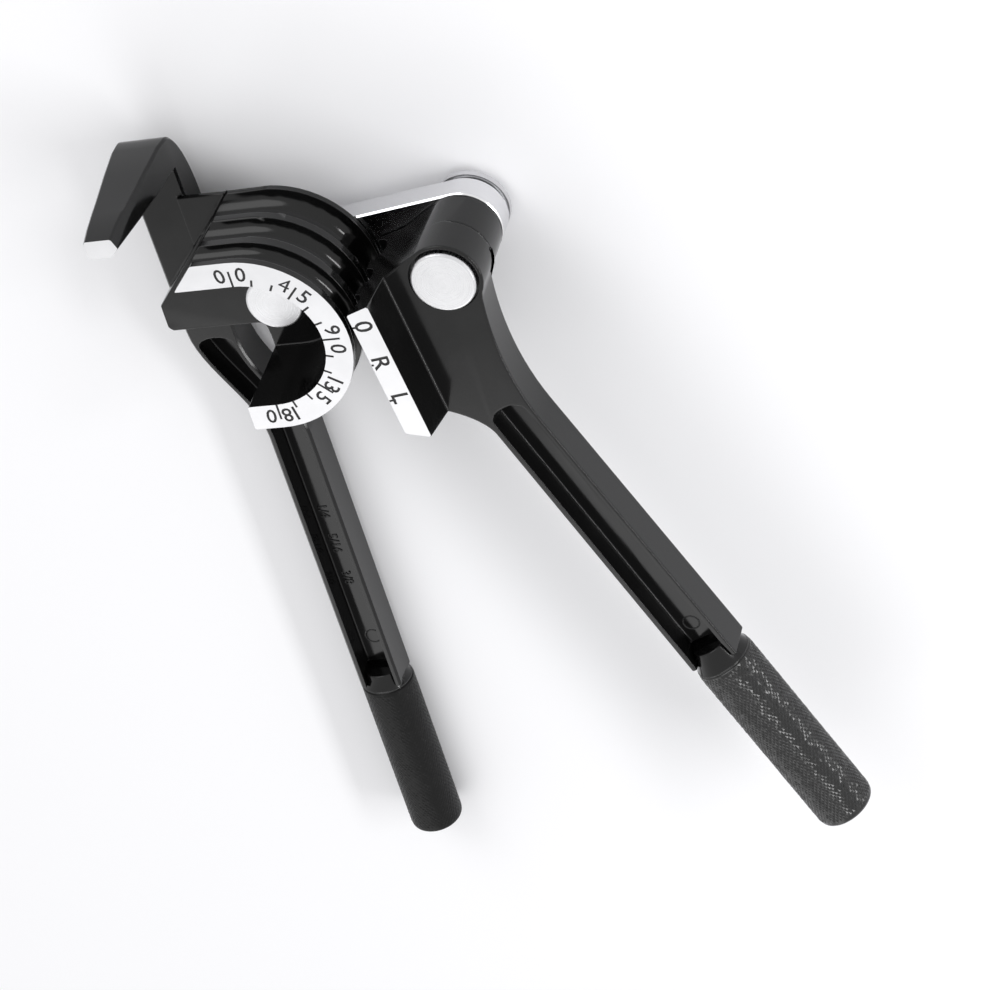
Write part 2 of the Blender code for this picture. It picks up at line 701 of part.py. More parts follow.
def slide_grip_place():
    return handle_turn(-SLIDE_AXIS_OFFSET, SLIDE_GRIP_DEPTH, math.radians(90) + SLIDE_ANGLE)


def build_link(parts, tools, axis, chrome):
    link = solid("link_bar", link_mesh(), parts, axis, chrome)
    for name, place in (("link_centre_bore", 0), ("link_slide_bore", PIVOT_SPACING)):
        tool = round_bar(name, BORE_RADIUS, level(0), level(BACK_DEPTH), tools, axis)
        tool.location = (0, place, 0)
        cut(link, tool)


def build_pivot(kind, parts, axis, head_radius, head_depth, steel):
    turned(f"{kind}_pin", pin_profile(head_radius, head_depth), parts, axis, steel)
    turned(f"{kind}_washer", washer_profile(), parts, axis, steel, closed=True)
    turned(f"{kind}_collar", collar_profile(), parts, axis, steel, closed=True)


def build_grips(parts, axis, rubber):
    profile = grip_profile(FORMING_GRIP_START, FORMING_GRIP_END, FORMING_GRIP_RADIUS)
    grip = turned("forming_grip", profile, parts, None, rubber)
    grip.matrix_local = handle_turn(-SHANK_CENTRE, FORMING_GRIP_DEPTH, 0)
    profile = grip_profile(SLIDE_GRIP_START, SLIDE_GRIP_END, SLIDE_GRIP_RADIUS)
    grip = turned("slide_grip", profile, parts, axis, rubber)
    grip.matrix_local = slide_grip_place()


def axis_empty(name, home, parent, place, angle):
    empty = bpy.data.objects.new(name, None)
    home.objects.link(empty)
    empty.parent = parent
    empty.location = place
    empty.rotation_euler = (0, 0, angle)
    return empty


def main():
    for old in list(bpy.data.objects):
        bpy.data.objects.remove(old)
    parts = collection("tube_bender")
    tools = collection("cutters")
    black = material("gloss_black_casting", (0.012, 0.012, 0.013), 0.25, 0)
    grip_black = material("knurled_black_grip", (0.015, 0.015, 0.016), 0.45, 0)
    chrome = material("plated_link", (0.75, 0.75, 0.76), 0.2, 1)
    steel = material("bright_pin", (0.7, 0.7, 0.7), 0.35, 1)
    link_axis = axis_empty("link_axis", parts, None, (0, 0, 0), -LINK_ANGLE)
    slide_axis = axis_empty("slide_axis", parts, link_axis, (0, PIVOT_SPACING, 0), 0)
    build_forming_casting(parts, tools, black)
    build_slide_casting(parts, tools, slide_axis, black)
    build_link(parts, tools, link_axis, chrome)
    build_pivot("centre", parts, None, CENTRE_HEAD_RADIUS, CENTRE_HEAD_DEPTH, steel)
    slide_head_depth = SLIDE_FACE_DEPTH + SEAT_DEPTH - PART_GAP - HEAD_THICKNESS
    build_pivot("slide", parts, slide_axis, SLIDE_HEAD_RADIUS, slide_head_depth, steel)
    build_grips(parts, slide_axis, grip_black)
    bpy.context.view_layer.update()


main()
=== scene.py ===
"""Looks of the hand tube bender: finishes, rounded edges, engraved marks and knurled grips."""

import math
import random

import bpy
from mathutils import Matrix, Vector


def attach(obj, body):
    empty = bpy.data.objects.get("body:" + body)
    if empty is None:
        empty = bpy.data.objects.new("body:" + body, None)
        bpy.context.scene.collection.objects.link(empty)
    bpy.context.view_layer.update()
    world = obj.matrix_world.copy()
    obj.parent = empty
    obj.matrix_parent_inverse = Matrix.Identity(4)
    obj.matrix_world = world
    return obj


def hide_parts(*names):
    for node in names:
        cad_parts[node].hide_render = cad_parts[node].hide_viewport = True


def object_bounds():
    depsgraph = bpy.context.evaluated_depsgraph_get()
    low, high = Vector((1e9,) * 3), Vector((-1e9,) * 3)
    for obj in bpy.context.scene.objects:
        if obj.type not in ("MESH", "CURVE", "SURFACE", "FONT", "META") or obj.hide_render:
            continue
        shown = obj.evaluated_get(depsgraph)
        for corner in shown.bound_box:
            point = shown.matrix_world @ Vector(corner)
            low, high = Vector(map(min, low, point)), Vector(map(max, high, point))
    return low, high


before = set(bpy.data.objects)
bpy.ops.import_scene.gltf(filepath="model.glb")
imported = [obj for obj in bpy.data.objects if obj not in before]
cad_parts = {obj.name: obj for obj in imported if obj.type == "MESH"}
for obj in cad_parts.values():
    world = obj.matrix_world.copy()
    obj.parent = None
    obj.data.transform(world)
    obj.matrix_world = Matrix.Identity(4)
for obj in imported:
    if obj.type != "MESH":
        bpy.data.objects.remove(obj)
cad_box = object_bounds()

# Places on the part, as the solids have them
DIAL_TOP = 0.0440
HOOK_TIP_TOP = 0.0485
DIAL_INNER = 0.0173
PIVOT_SPACING = 0.0471
LINK_TURN = math.radians(-82.5)
SLIDE_TURN = math.radians(90 + 14.5)

# Forming handle, whose axis runs towards -Y
FORMING_AXIS_X = -0.01585
FORMING_AXIS_HEIGHT = 0.0058
FORMING_FACE = 0.0112
FORMING_FLOOR = 0.0056
FORMING_INNER_WIDTH = 0.0085
FORMING_POCKET_END = 0.1305
FORMING_CONE_START = 0.1316
FORMING_SHANK_END = 0.1350
FORMING_GRIP_START = 0.1364
FORMING_GRIP_END = 0.1877
FORMING_GRIP_RADIUS = 0.00735

# Slide handle, in its own axes from the slide pivot
SLIDE_AXIS_X = -0.0103
SLIDE_AXIS_HEIGHT = 0.0278
SLIDE_FACE = 0.0330
SLIDE_FLOOR = 0.0274
SLIDE_INNER_WIDTH = 0.0106
SLIDE_POCKET_END = 0.1225
SLIDE_CONE_START = 0.1236
SLIDE_SHANK_END = 0.1271
SLIDE_GRIP_START = 0.1295
SLIDE_GRIP_END = 0.1865
SLIDE_GRIP_RADIUS = 0.0081
SLIDE_BOSS_RADIUS = 0.0095

# The boss's deep part stands in by less than the step, and only the ledge of that is kept
BOSS_STEP = 0.0003
BOSS_LEDGE = 0.00003

# Collars and grips
COLLAR_SIDES = 96
COLLAR_RADIUS = 0.0054
FORMING_COLLAR_FLAT = 0.0014
SLIDE_COLLAR_FLAT = 0.0001
COLLAR_ROUND = 0.0005
COLLAR_OVERLAP = 0.0004
COLLAR_BEHIND_GRIP = 0.0001
NOTCH_BELOW_FLOOR = 0.0015
NOTCH_PAST_END = 0.00005
TANG_BORE = 0.0053
GRIP_END_WALL = 0.0040
GRIP_ROUND = 0.0015
GRIP_LIP = 0.0003
CROWN_STEPS = 5
WORN_SHARE = 0.4
FORMING_KNURLS_AROUND = 44
FORMING_KNURL_PITCH = 0.0015
FORMING_KNURL_RISE = 0.00012
SLIDE_KNURLS_AROUND = 48
SLIDE_KNURL_PITCH = 0.0016
SLIDE_KNURL_RISE = 0.00026

# Engraved marks, the same on the dial and the shoe
ENGRAVED_DEPTH = 0.00016
FIGURE_DEEPER = 0.00002
MARK_WIDTH = 0.00055
FIGURE_BOLD = 0.012

# Dial, in degrees from its 0 mark
DIAL_MARKS = 13
DIAL_MARK_ANGLE = 15
LONG_MARK_EVERY = 3
DIGIT_HEIGHT = 0.0040
DIGIT_RADIUS = 0.0186
LONG_MARK_END = 0.0216
SHORT_MARK_END = 0.0192
MARK_PAST_INSIDE = 0.0003
DIGIT_ANGLES = (
    ("0", -7.0), ("0", 7.7), ("4", 37.7), ("5", 52.6), ("9", 83.0), ("0", 98.0),
    ("1", 124.6), ("3", 131.6), ("5", 143.0), ("1", 168.4), ("8", 174.6), ("0", 186.2),
)

# Shoe, along it from the line between the pivots and out from the wheel's centre
SHOE_EDGE = 0.0245
SHOE_LINES = ((0.0009, 0.0263), (0.0120, 0.0263), (0.0227, 0.0274))
SHOE_FIGURES = (
    ("0", 0.0011, 0.0262, 0.0046),
    ("R", 0.0120, 0.0262, 0.0044),
    ("L", 0.0226, 0.0266, 0.0044),
)

# Raised tube sizes on the pocket floor, each with its start and end along the handle
SIZE_MARKS = (("1/4", 0.0774, 0.0811), ("5/16", 0.0859, 0.0936), ("3/8", 0.0987, 0.1042))
SIZE_MARK_X = -0.0182
SIZE_MARK_HEIGHT = 0.0026
SIZE_MARK_BOLD = 0.004
SIZE_MARK_SUNK = 0.0001
SIZE_MARK_RISE = 0.00022

# Rings of the casting's ejector pins
FORMING_RING_PLACE = (-0.0157, -0.1218)
FORMING_RING_RADIUS = 0.0021
SLIDE_RING_ACROSS = -0.0012
SLIDE_RING_ALONG = 0.1168
SLIDE_RING_RADIUS = 0.00205
RING_LINE_RADIUS = 0.00013
RING_SIDES = 40
RING_LINE_SIDES = 8

# Edges, flat faces and shading, with angles in degrees
EDGE_ROUND = 0.00045
EDGE_SEGMENTS = 3
NARROW_FACE = 0.0011
SHARP_EDGE = 35
FLAT_JOIN = 1.0
CASTING_SMOOTH = 32
MARK_SMOOTH = 30
KNURL_SMOOTH = 12
FACING_UP = 0.99
FULL_FACE_WEIGHT = 100
MERGE_DISTANCE = 0.00001
FINE_MERGE_DISTANCE = 0.000001

# Places of a colour mix's sockets, whose names its other sockets share
MIX_FIRST = 6
MIX_LAST = 7
MIX_RESULT = 2

# Stage
FLOOR_SIZE = 6
FLOOR_CELLS = 4
FLOOR_DROP = 0.0001
PLAIN_LIGHT = 0.70
LAMP_AIM = (0.03, -0.05, 0.02)
CAMERA_PLACE = (0.307774, 0.412902, 0.659826)
CAMERA_ANGLES = (-39.24485, 12.03203, -15.13386)
CAMERA_LENS = 122.993
SENSOR_WIDTH = 36
NEAREST_SEEN = 0.01
FARTHEST_SEEN = 20


def pick_only(*pieces):
    bpy.ops.object.select_all(action="DESELECT")
    for piece in pieces:
        piece.select_set(True)
    bpy.context.view_layer.objects.active = pieces[0]


def settle(piece):
    """Puts a piece's place, turn and size into its mesh."""
    pick_only(piece)
    bpy.ops.object.transform_apply(location=True, rotation=True, scale=True)


def apply_all(piece):
    pick_only(piece)
    for step in list(piece.modifiers):
        bpy.ops.object.modifier_apply(modifier=step.name)


def smooth(piece, angle):
    pick_only(piece)
    bpy.ops.object.shade_smooth_by_angle(angle=math.radians(angle))


def even_shading(piece):
    """Smooth shading in which the large flat faces stay flat."""
    smooth(piece, CASTING_SMOOTH)
    step = piece.modifiers.new("flat faces", "WEIGHTED_NORMAL")
    step.keep_sharp = True
    step.weight = FULL_FACE_WEIGHT
    apply_all(piece)


def merged_copy(node, name):
    """A solid's mesh as a new piece, with its loose triangles joined into flat faces."""
    piece = bpy.data.objects.new(name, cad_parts[node].data.copy())
    bpy.context.scene.collection.objects.link(piece)
    piece.data.materials.clear()
    pick_only(piece)
    bpy.ops.object.mode_set(mode="EDIT")
    bpy.ops.mesh.select_all(action="SELECT")
    bpy.ops.mesh.customdata_custom_splitnormals_clear()
    bpy.ops.mesh.remove_doubles(threshold=MERGE_DISTANCE)
    bpy.ops.mesh.dissolve_limited(angle_limit=math.radians(FLAT_JOIN))
    bpy.ops.object.mode_set(mode="OBJECT")
    return piece


def faces_by_edge(piece):
    """Each edge's faces, so that an edge is picked by how they lie."""
    faces_of = {}
    for face in piece.data.polygons:
        for key in face.edge_keys:
            faces_of.setdefault(key, []).append(face)
    return faces_of


def face_width(piece, face):
    """About how wide a face is across its narrow way."""
    places = [piece.data.vertices[index].co for index in face.vertices]
    around = sum((places[index] - places[index - 1]).length for index in range(len(places)))
    return 2 * face.area / around


def lies_at(height, place):
    return abs(place - height) < MERGE_DISTANCE


def choose_edges(piece, kept_heights):
    """Picks a casting's sharp edges for rounding, but not those of its machined or narrow faces."""
    faces_of = faces_by_edge(piece)
    weights = piece.data.attributes.new("bevel_weight_edge", "FLOAT", "EDGE")
    points = piece.data.vertices
    for edge in piece.data.edges:
        sides = faces_of.get(edge.key, [])
        if len(sides) != 2:
            continue
        if sides[0].normal.angle(sides[1].normal) < math.radians(SHARP_EDGE):
            continue
        if min(face_width(piece, face) for face in sides) < NARROW_FACE:
            continue
        heights = [points[index].co.z for index in edge.vertices]
        if any(all(lies_at(kept, height) for height in heights) for kept in kept_heights):
            continue
        weights.data[edge.index].value = 1


def round_edges(piece):
    """Rounds the chosen edges."""
    bevel = piece.modifiers.new("rounded edges", "BEVEL")
    bevel.limit_method = "WEIGHT"
    bevel.width = EDGE_ROUND
    bevel.segments = EDGE_SEGMENTS
    bevel.use_clamp_overlap = False
    bevel.harden_normals = False
    apply_all(piece)


# Shader groups

def new_group(name, inputs, outputs):
    group = bpy.data.node_groups.new(name, "ShaderNodeTree")
    for label, kind, value in inputs:
        socket = group.interface.new_socket(name=label, in_out="INPUT", socket_type=kind)
        socket.default_value = value
    for label, kind in outputs:
        group.interface.new_socket(name=label, in_out="OUTPUT", socket_type=kind)
    start = group.nodes.new("NodeGroupInput")
    end = group.nodes.new("NodeGroupOutput")
    return group, start, end


def math_node(nodes, operation, clamp=False):
    made = nodes.new("ShaderNodeMath")
    made.operation = operation
    made.use_clamp = clamp
    return made


def grain_group():
    """Soft mottling and fine grain of a surface, as values round a half."""
    group, start, end = new_group(
        "surface grain",
        (
            ("Place", "NodeSocketVector", (0, 0, 0)),
            ("Broad", "NodeSocketFloat", 90),
            ("Fine", "NodeSocketFloat", 1600),
        ),
        (("Mottling", "NodeSocketFloat"), ("Grain", "NodeSocketFloat")),
    )
    nodes, links = group.nodes, group.links
    for size, out, detail in (("Broad", "Mottling", 4), ("Fine", "Grain", 2)):
        noise = nodes.new("ShaderNodeTexNoise")
        noise.inputs["Detail"].default_value = detail
        links.new(start.outputs["Place"], noise.inputs["Vector"])
        links.new(start.outputs[size], noise.inputs["Scale"])
        links.new(noise.outputs["Fac"], end.inputs[out])
    return group


def edge_highlight_group():
    """Mask of a painted highlight along the edges, broken up by noise."""
    group, start, end = new_group(
        "painted edge highlight",
        (
            ("Place", "NodeSocketVector", (0, 0, 0)),
            ("Reach", "NodeSocketFloat", 0.0004),
            ("Amount", "NodeSocketFloat", 1),
        ),
        (("Mask", "NodeSocketFloat"),),
    )
    nodes, links = group.nodes, group.links
    bevel = nodes.new("ShaderNodeBevel")
    bevel.samples = 4
    face = nodes.new("ShaderNodeNewGeometry")
    dot = nodes.new("ShaderNodeVectorMath")
    dot.operation = "DOT_PRODUCT"
    links.new(start.outputs["Reach"], bevel.inputs["Radius"])
    links.new(bevel.outputs["Normal"], dot.inputs[0])
    links.new(face.outputs["Normal"], dot.inputs[1])
    turn = math_node(nodes, "SUBTRACT", True)
    turn.inputs[0].default_value = 1
    links.new(dot.outputs["Value"], turn.inputs[1])
    noise = nodes.new("ShaderNodeTexNoise")
    noise.inputs["Scale"].default_value = 260
    noise.inputs["Detail"].default_value = 5
    links.new(start.outputs["Place"], noise.inputs["Vector"])
    broken_highlight = math_node(nodes, "MULTIPLY")
    links.new(turn.outputs[0], broken_highlight.inputs[0])
    links.new(noise.outputs["Fac"], broken_highlight.inputs[1])
    scaled = math_node(nodes, "MULTIPLY", True)
    links.new(broken_highlight.outputs[0], scaled.inputs[0])
    links.new(start.outputs["Amount"], scaled.inputs[1])
    links.new(scaled.outputs[0], end.inputs["Mask"])
    return group


def turned_group():
    """Fine rings of a turned face, about an upright axis through a place."""
    group, start, end = new_group(
        "turned rings",
        (
            ("Place", "NodeSocketVector", (0, 0, 0)),
            ("Centre", "NodeSocketVector", (0, 0, 0)),
            ("Pitch", "NodeSocketFloat", 4000),
        ),
        (("Rings", "NodeSocketFloat"), ("Radius", "NodeSocketFloat")),
    )
    nodes, links = group.nodes, group.links
    away = nodes.new("ShaderNodeVectorMath")
    away.operation = "SUBTRACT"
    flat = nodes.new("ShaderNodeVectorMath")
    flat.operation = "MULTIPLY"
    flat.inputs[1].default_value = (1, 1, 0)
    length = nodes.new("ShaderNodeVectorMath")
    length.operation = "LENGTH"
    links.new(start.outputs["Place"], away.inputs[0])
    links.new(start.outputs["Centre"], away.inputs[1])
    links.new(away.outputs[0], flat.inputs[0])
    links.new(flat.outputs[0], length.inputs[0])
    noise = nodes.new("ShaderNodeTexNoise")
    noise.noise_dimensions = "1D"
    noise.inputs["Detail"].default_value = 3
    links.new(length.outputs["Value"], noise.inputs["W"])
    links.new(start.outputs["Pitch"], noise.inputs["Scale"])
    links.new(noise.outputs["Fac"], end.inputs["Rings"])
    links.new(length.outputs["Value"], end.inputs["Radius"])
    return group


GRAIN = grain_group()
EDGE_HIGHLIGHT = edge_highlight_group()
RINGS = turned_group()


class Finish:
    """A material with its shader and places to hang pattern nodes on."""

    def __init__(self, name, colour, roughness, metallic=0.0):
        self.material = bpy.data.materials.new(name)
        self.material.use_nodes = True
        self.nodes = self.material.node_tree.nodes
        self.links = self.material.node_tree.links
        self.shader = self.nodes["Principled BSDF"]
        self.shader.inputs["Base Color"].default_value = (*colour, 1)
        self.shader.inputs["Roughness"].default_value = roughness
        self.shader.inputs["Metallic"].default_value = metallic
        self.place = self.nodes.new("ShaderNodeTexCoord").outputs["Object"]

    def group(self, tree, **values):
        """A shared pattern, placed with its own values."""
        made = self.nodes.new("ShaderNodeGroup")
        made.node_tree = tree
        self.links.new(self.place, made.inputs["Place"])
        for label, value in values.items():
            made.inputs[label].default_value = value
        return made

    def between(self, value, low, high, first=0.0, last=1.0):
        """A value mapped from one range to another."""
        made = self.nodes.new("ShaderNodeMapRange")
        self.links.new(value, made.inputs["Value"])
        made.inputs["From Min"].default_value = first
        made.inputs["From Max"].default_value = last
        made.inputs["To Min"].default_value = low
        made.inputs["To Max"].default_value = high
        return made.outputs["Result"]

    def colours(self, value, first, last):
        """A grey or colour that a value moves between two."""
        made = self.nodes.new("ShaderNodeMix")
        made.data_type = "RGBA"
        made.inputs[MIX_FIRST].default_value = (*first, 1)
        made.inputs[MIX_LAST].default_value = (*last, 1)
        self.links.new(value, made.inputs["Factor"])
        return made.outputs[MIX_RESULT]

    def mix_colour(self, value, first, last):
        """A pattern's colours, moved by a value towards one more."""
        made = self.nodes.new("ShaderNodeMix")
        made.data_type = "RGBA"
        self.links.new(first, made.inputs[MIX_FIRST])
        made.inputs[MIX_LAST].default_value = (*last, 1)
        self.links.new(value, made.inputs["Factor"])
        return made.outputs[MIX_RESULT]

    def bump(self, height, strength, distance, soft_edge=0.0):
        """Fine relief, over edges that look rounded by a small radius."""
        made = self.nodes.new("ShaderNodeBump")
        made.inputs["Strength"].default_value = strength
        made.inputs["Distance"].default_value = distance
        self.links.new(height, made.inputs["Height"])
        if soft_edge:
            edge = self.nodes.new("ShaderNodeBevel")
            edge.samples = 6
            edge.inputs["Radius"].default_value = soft_edge
            self.links.new(edge.outputs["Normal"], made.inputs["Normal"])
        self.links.new(made.outputs["Normal"], self.shader.inputs["Normal"])

    def set(self, label, value):
        """Lets a pattern drive one of the shader's own sockets."""
        self.links.new(value, self.shader.inputs[label])


def grey(level):
    """A grey that is a little cool."""
    return (level, level, level * 1.02)


def enamel_finish():
    """Black enamel over the castings, with a painted highlight along the edges."""
    finish = Finish("black casting enamel", grey(0.004), 0.13)
    finish.shader.inputs["Specular IOR Level"].default_value = 0.34
    grain = finish.group(GRAIN, Broad=70, Fine=1100)
    # Painted highlight: the edges are lightened towards grey, standing in for light caught on the
    # rounded edges.
    edges = finish.group(EDGE_HIGHLIGHT, Reach=0.0005, Amount=1.4)
    base = finish.colours(grain.outputs["Mottling"], grey(0.002), grey(0.005))
    finish.set("Base Color", finish.mix_colour(edges.outputs["Mask"], base, grey(0.12)))
    gloss = finish.between(grain.outputs["Mottling"], low=0.08, high=0.18, first=0.25, last=0.75)
    finish.set("Roughness", gloss)
    finish.bump(grain.outputs["Grain"], strength=0.06, distance=0.00006, soft_edge=0.00035)
    return finish.material


def machined_finish():
    """Bare metal of the dial, the shoe's strip and the hook's tip."""
    finish = Finish("bare machined face", grey(0.8), 0.3, 1.0)
    grain = finish.group(GRAIN, Broad=120, Fine=2200)
    finish.set("Base Color", finish.colours(grain.outputs["Mottling"], grey(0.60), grey(0.74)))
    finish.set("Roughness", finish.between(grain.outputs["Grain"], low=0.24, high=0.42))
    finish.bump(grain.outputs["Grain"], strength=0.15, distance=0.00003)
    return finish.material


def dark_in_marks_finish():
    """The dark bottoms of the engraved marks."""
    # The engraved marks' cut faces get a dark colour.
    finish = Finish("dark engraved line", grey(0.02), 0.6)
    grain = finish.group(GRAIN, Broad=500, Fine=3000)
    finish.set("Base Color", finish.colours(grain.outputs["Mottling"], grey(0.006), grey(0.03)))
    return finish.material


def turned_finish(name, centre):
    """Steel with fine rings round its pin's axis."""
    finish = Finish(name, grey(0.75), 0.3, 1.0)
    rings = finish.group(RINGS, Centre=centre, Pitch=5200)
    grain = finish.group(GRAIN, Broad=220, Fine=2400)
    finish.set("Base Color", finish.colours(grain.outputs["Mottling"], grey(0.58), grey(0.70)))
    gloss = finish.between(rings.outputs["Rings"], low=0.2, high=0.4, first=0.3, last=0.7)
    finish.set("Roughness", gloss)
    finish.bump(rings.outputs["Rings"], strength=0.09, distance=0.00004)
    return finish.material


def plated_finish():
    """Bright plating of the link."""
    finish = Finish("bright plating", grey(0.62), 0.14, 1.0)
    grain = finish.group(GRAIN, Broad=60, Fine=700)
    finish.set("Base Color", finish.colours(grain.outputs["Mottling"], grey(0.70), grey(0.80)))
    gloss = finish.between(grain.outputs["Mottling"], low=0.10, high=0.20, first=0.25, last=0.75)
    finish.set("Roughness", gloss)
    finish.bump(grain.outputs["Grain"], strength=0.04, distance=0.00004)
    return finish.material


def grip_finish(name, roughness, gloss):
    """Black of a knurled grip, duller or brighter."""
    finish = Finish(name, grey(0.006), roughness)
    finish.shader.inputs["Specular IOR Level"].default_value = gloss
    grain = finish.group(GRAIN, Broad=150, Fine=1500)
    finish.set("Base Color", finish.colours(grain.outputs["Mottling"], grey(0.002), grey(0.005)))
    finish.set("Roughness", finish.between(grain.outputs["Grain"], roughness - 0.06, roughness + 0.08))
    return finish.material


ENAMEL = enamel_finish()
MACHINED = machined_finish()
DARK_IN_MARKS = dark_in_marks_finish()
PLATING = plated_finish()
LINK_FRAME = Matrix.Rotation(LINK_TURN, 4, "Z") @ Matrix.Translation((0, PIVOT_SPACING, 0))
CENTRE_STEEL = turned_finish("turned centre steel", (0, 0, 0))
SLIDE_STEEL = turned_finish("turned slide steel", tuple(LINK_FRAME.translation))


def handle_axes(turn, axis_x, height):
    """A handle's own axes: X across it, Y up and Z along it to its end."""
    place = Matrix.Rotation(turn, 4, "Z") @ Matrix.Translation((axis_x, 0, height))
    return place @ Matrix.Rotation(math.radians(90), 4, "X")


FORMING_AXES = handle_axes(0, FORMING_AXIS_X, FORMING_AXIS_HEIGHT)
SLIDE_AXES = LINK_FRAME @ handle_axes(SLIDE_TURN, SLIDE_AXIS_X, SLIDE_AXIS_HEIGHT)


def figure_shape(text, tall, bold=FIGURE_BOLD):
    """Solid figures with their feet on the origin and their middle over it."""
    # A bolder 4 has an outline that crosses itself
    if text == "4":
        bold = 0
    bpy.ops.object.text_add(location=(0, 0, 0))
    made = bpy.context.object
    made.data.body = text
    made.data.size = 1
    made.data.extrude = 0.5
    made.data.offset = bold
    made.data.resolution_u = 3
    bpy.ops.object.convert(target="MESH")
    made = bpy.context.object
    across = [point.co.x for point in made.data.vertices]
    upwards = [point.co.y for point in made.data.vertices]
    low = min(upwards)
    share = tall / (max(upwards) - low)
    middle = (min(across) + max(across)) / 2
    made.data.transform(Matrix.Diagonal((share, share, 1, 1)) @ Matrix.Translation((-middle, -low, 0)))
    return made


def stroke_shape(first, last, width):
    """A straight slot between two places."""
    first = Vector(first)
    last = Vector(last)
    along = last - first
    bpy.ops.mesh.primitive_cube_add(size=1, location=(*((first + last) / 2), 0))
    made = bpy.context.object
    made.scale = (along.length, width, 1)
    made.rotation_euler = (0, 0, math.atan2(along.y, along.x))
    return made


def set_thickness(shape, low, high):
    """Moves a flat shape's two sides to real heights."""
    for point in shape.data.vertices:
        point.co.z = high if point.co.z > 0 else low
    shape.location.z = 0


def join_shapes(shapes, name, finish, low, high):
    """Figures and slots as one closed solid between two heights."""
    for shape in shapes:
        set_thickness(shape, low, high)
        shape.data.materials.clear()
        shape.data.materials.append(finish)
    pick_only(*shapes)
    bpy.ops.object.join()
    made = bpy.context.object
    made.name = name
    settle(made)
    bpy.ops.object.mode_set(mode="EDIT")
    bpy.ops.mesh.select_all(action="SELECT")
    bpy.ops.mesh.remove_doubles(threshold=FINE_MERGE_DISTANCE)
    bpy.ops.mesh.normals_make_consistent(inside=False)
    bpy.ops.object.mode_set(mode="OBJECT")
    return made


def cut_with(piece, tool):
    """Cuts a tool's form out of a piece, which keeps the tool's finish there."""
    step = piece.modifiers.new("cut", "BOOLEAN")
    step.operation = "DIFFERENCE"
    step.solver = "EXACT"
    step.material_mode = "TRANSFER"
    step.object = tool
    apply_all(piece)
    bpy.data.objects.remove(tool)


def on_dial(angle, radius):
    """A place on the dial, at degrees turned from its 0 mark."""
    turn = math.radians(angle)
    return (radius * math.sin(turn), radius * math.cos(turn))


def engrave(piece, strokes, figures):
    """Cuts strokes and then figures into a machined face, as some of them touch."""
    for shapes, depth in ((strokes, ENGRAVED_DEPTH), (figures, ENGRAVED_DEPTH + FIGURE_DEEPER)):
        marks = join_shapes(shapes, "marks", DARK_IN_MARKS, DIAL_TOP - depth, DIAL_TOP + depth)
        cut_with(piece, marks)


def dial_strokes():
    for step in range(DIAL_MARKS):
        angle = DIAL_MARK_ANGLE * step
        reach = LONG_MARK_END if step % LONG_MARK_EVERY == 0 else SHORT_MARK_END
        inside = on_dial(angle, DIAL_INNER - MARK_PAST_INSIDE)
        yield stroke_shape(inside, on_dial(angle, reach), MARK_WIDTH)


def dial_figures():
    for text, angle in DIGIT_ANGLES:
        figure = figure_shape(text, DIGIT_HEIGHT)
        figure.location = (*on_dial(angle, DIGIT_RADIUS), 0)
        figure.rotation_euler = (0, 0, -math.radians(angle))
        yield figure


def on_shoe(along, out):
    """A place on the shoe's strip, along it and out from the wheel's centre."""
    place = LINK_FRAME @ Vector((along, out - PIVOT_SPACING, 0))
    return (place.x, place.y)


def shoe_strokes():
    for along, reach in SHOE_LINES:
        yield stroke_shape(on_shoe(along, SHOE_EDGE), on_shoe(along, reach), MARK_WIDTH)


def shoe_figures():
    for text, along, foot, tall in SHOE_FIGURES:
        figure = figure_shape(text, tall)
        figure.location = (*on_shoe(along, foot), 0)
        figure.rotation_euler = (0, 0, LINK_TURN)
        yield figure


def size_marks():
    """Raised tube sizes on the floor of the forming handle's pocket, read towards its grip."""
    shapes = []
    for text, first, last in SIZE_MARKS:
        figure = figure_shape(text, SIZE_MARK_HEIGHT, SIZE_MARK_BOLD)
        figure.location = (SIZE_MARK_X, -(first + last) / 2, 0)
        figure.rotation_euler = (0, 0, math.radians(-90))
        shapes.append(figure)
    low = FORMING_FLOOR - SIZE_MARK_SUNK
    high = FORMING_FLOOR + SIZE_MARK_RISE
    made = join_shapes(shapes, "size_marks", ENAMEL, low, high)
    smooth(made, MARK_SMOOTH)
    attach(made, "forming_handle")


def paint_by_height(piece, height):
    """Gives the flat faces at a machined height their bare metal."""
    for face in piece.data.polygons:
        if face.normal.z > FACING_UP and lies_at(height, face.center.z):
            face.material_index = 1


def turned_solid(name, profile, sides):
    """A closed solid from radii and heights, pulled up from a disc."""
    radius, height = profile[0]
    start = (0, 0, height)
    bpy.ops.mesh.primitive_circle_add(vertices=sides, radius=radius, fill_type="NGON", location=start)
    made = bpy.context.object
    made.name = name
    settle(made)
    bpy.ops.object.mode_set(mode="EDIT")
    bpy.ops.mesh.select_all(action="SELECT")
    for next_radius, next_height in profile[1:]:
        bpy.ops.mesh.extrude_region_move(TRANSFORM_OT_translate={"value": (0, 0, next_height - height)})
        share = next_radius / radius
        bpy.ops.transform.resize(value=(share, share, 1), center_override=(0, 0, next_height))
        radius = next_radius
        height = next_height
    bpy.ops.mesh.select_all(action="SELECT")
    bpy.ops.mesh.normals_make_consistent(inside=False)
    bpy.ops.object.mode_set(mode="OBJECT")
    return made


